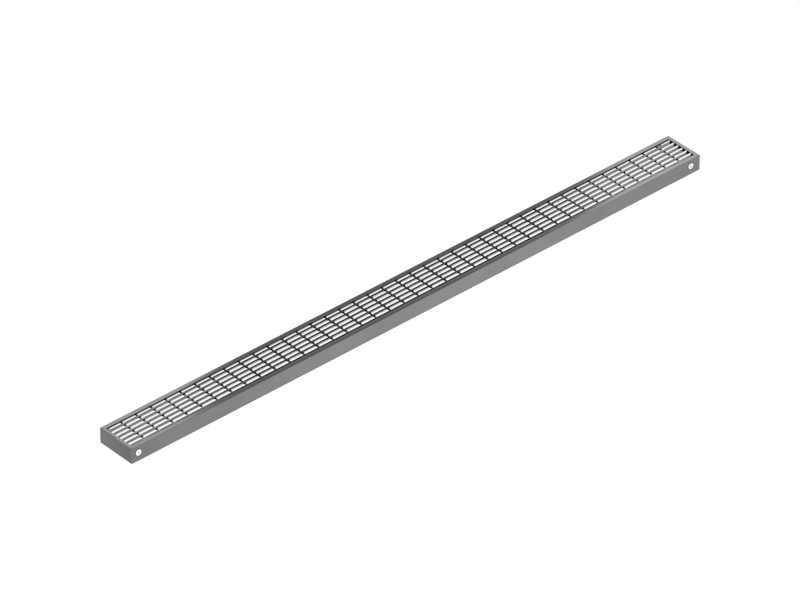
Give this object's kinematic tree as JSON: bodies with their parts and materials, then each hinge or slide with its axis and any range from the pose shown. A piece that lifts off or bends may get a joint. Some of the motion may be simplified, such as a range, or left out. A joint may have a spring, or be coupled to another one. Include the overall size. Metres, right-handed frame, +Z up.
{
  "type": "channel drain grate",
  "caption": "Long narrow drain channel grate: a flanged steel frame with a shallow welded bar mesh and light push-in plugs in its long sides.",
  "frame": {"origin": "bottom centre of the frame, in the plane of its lower edges", "axes": "+X along the grate, +Y across it towards the back rail, +Z up towards the walking surface"},
  "size_m": [1, 0.0646, 0.0232],
  "materials": {
    "frame": "satin grey, dull with fine grain",
    "mesh": "satin grey with dark weld scale at the crossings",
    "plug": "white moulded plastic"
  },
  "bodies": {
    "root": {"back_left_plug": "plug", "back_right_plug": "plug", "back_side_rail": "frame", "cross_bar_01": "mesh", "cross_bar_02": "mesh", "cross_bar_03": "mesh", "cross_bar_04": "mesh", "cross_bar_05": "mesh", "cross_bar_06": "mesh", "cross_bar_07": "mesh", "cross_bar_08": "mesh", "cross_bar_09": "mesh", "cross_bar_10": "mesh", "cross_bar_11": "mesh", "cross_bar_12": "mesh", "cross_bar_13": "mesh", "cross_bar_14": "mesh", "cross_bar_15": "mesh", "cross_bar_16": "mesh", "cross_bar_17": "mesh", "cross_bar_18": "mesh", "cross_bar_19": "mesh", "cross_bar_20": "mesh", "cross_bar_21": "mesh", "cross_bar_22": "mesh", "cross_bar_23": "mesh", "cross_bar_24": "mesh", "cross_bar_25": "mesh", "cross_bar_26": "mesh", "cross_bar_27": "mesh", "cross_bar_28": "mesh", "cross_bar_29": "mesh", "cross_bar_30": "mesh", "cross_bar_31": "mesh", "cross_bar_32": "mesh", "cross_bar_33": "mesh", "cross_bar_34": "mesh", "cross_bar_35": "mesh", "cross_bar_36": "mesh", "cross_bar_37": "mesh", "cross_bar_38": "mesh", "cross_bar_39": "mesh", "front_left_plug": "plug", "front_right_plug": "plug", "front_side_rail": "frame", "left_end_plate": "frame", "long_bar_1": "mesh", "long_bar_2": "mesh", "long_bar_3": "mesh", "long_bar_4": "mesh", "long_bar_5": "mesh", "long_bar_6": "mesh", "right_end_plate": "frame"}
  },
  "joints": []
}
